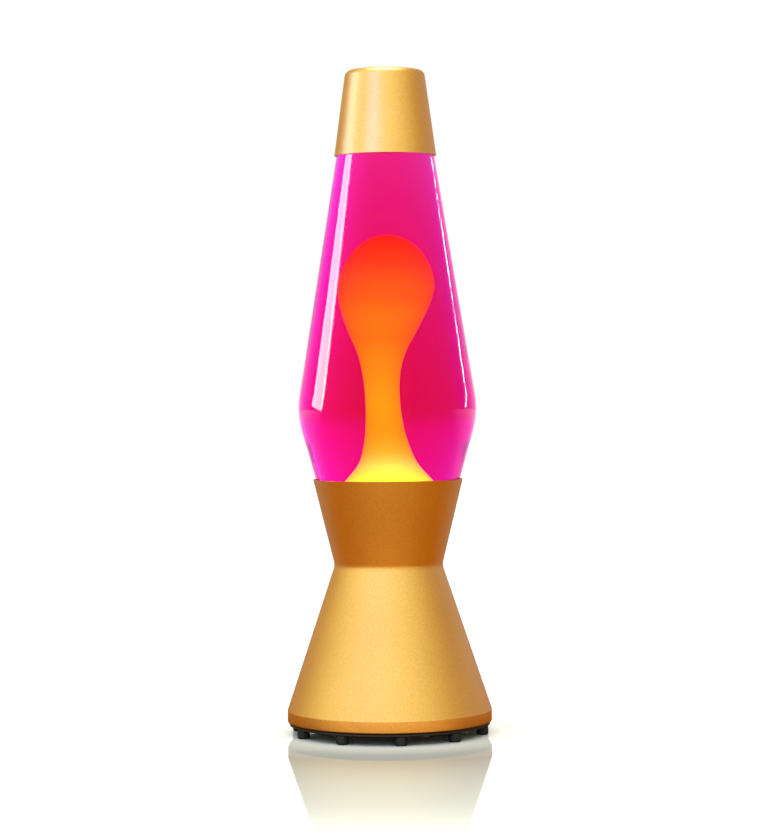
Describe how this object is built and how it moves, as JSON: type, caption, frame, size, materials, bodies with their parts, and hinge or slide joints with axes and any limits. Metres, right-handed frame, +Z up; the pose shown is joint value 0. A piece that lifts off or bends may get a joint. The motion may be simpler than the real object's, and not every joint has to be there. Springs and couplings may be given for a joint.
{
  "type": "lava lamp",
  "caption": "Table lava lamp: satin gold hourglass base and tapered cap around a glass bottle of pink liquid with a plume of orange wax.",
  "frame": {"origin": "on the ground under the lamp's vertical axis, level with the undersides of the feet", "axes": "+Z up along the lamp's axis, front towards -Y, cord gland at the back towards +Y"},
  "size_m": [0.1328, 0.1328, 0.43],
  "materials": {
    "gold": "satin",
    "glass": "gloss",
    "pink_liquid": "gloss",
    "orange_wax": "satin",
    "black_plastic": "satin",
    "black_rubber": "matte",
    "zinc_steel": "satin",
    "brass": "satin",
    "tinplate": "gloss",
    "liner": "matte",
    "cream_plastic": "satin",
    "bulb_glass": "satin",
    "tungsten": "satin",
    "brown_sleeve": "satin",
    "blue_sleeve": "satin",
    "green_sleeve": "satin"
  },
  "bodies": {
    "base": {"base_shell": "gold", "bottom_plate": "black_plastic", "lamp_holder": "black_plastic", "foot_1": "black_rubber", "foot_2": "black_rubber", "foot_3": "black_rubber", "foot_4": "black_rubber", "foot_5": "black_rubber", "foot_6": "black_rubber", "foot_7": "black_rubber", "foot_8": "black_rubber", "foot_9": "black_rubber", "foot_10": "black_rubber", "cord_gland": "black_rubber", "clamp_lug_1": "zinc_steel", "clamp_lug_2": "zinc_steel", "clamp_lug_3": "zinc_steel", "plate_screw_1": "zinc_steel", "plate_screw_2": "zinc_steel", "plate_screw_3": "zinc_steel", "holder_bracket": "zinc_steel", "bracket_screw_1": "zinc_steel", "bracket_screw_2": "zinc_steel", "bracket_nut_1": "zinc_steel", "bracket_nut_2": "zinc_steel", "holder_nipple": "zinc_steel", "nipple_nut": "zinc_steel", "block_screw": "zinc_steel", "holder_thread_shell": "brass", "live_terminal": "brass", "neutral_terminal": "brass", "centre_contact": "brass", "earth_tag": "brass", "terminal_screw_1": "brass", "terminal_screw_2": "brass", "terminal_screw_3": "brass", "terminal_block": "cream_plastic", "live_lead": "brown_sleeve", "neutral_lead": "blue_sleeve", "earth_lead": "green_sleeve"},
    "bulb": {"bulb_envelope": "bulb_glass", "bulb_screw_cap": "tinplate", "bulb_insulator": "black_plastic", "bulb_tip_contact": "tinplate", "bulb_stem": "bulb_glass", "bulb_filament": "tungsten"},
    "bottle": {"glass_bottle": "glass", "liquid": "pink_liquid", "wax": "orange_wax", "heat_coil": "zinc_steel", "crown_cap": "tinplate", "crown_liner": "liner"},
    "cap": {"top_cap": "gold"}
  },
  "joints": [
    {"name": "bottle_lift", "type": "slide", "parent": "base", "child": "bottle", "axis": [0, 0, 1], "range_m": [0, 0.08]},
    {"name": "cap_lift", "type": "slide", "parent": "bottle", "child": "cap", "axis": [0, 0, 1], "range_m": [0, 0.06]},
    {"name": "bulb_unscrew", "type": "hinge", "parent": "base", "child": "bulb", "pos_m": [0, 0, 0.042], "axis": [0, 0, 1], "range_deg": [0, 1620]}
  ]
}
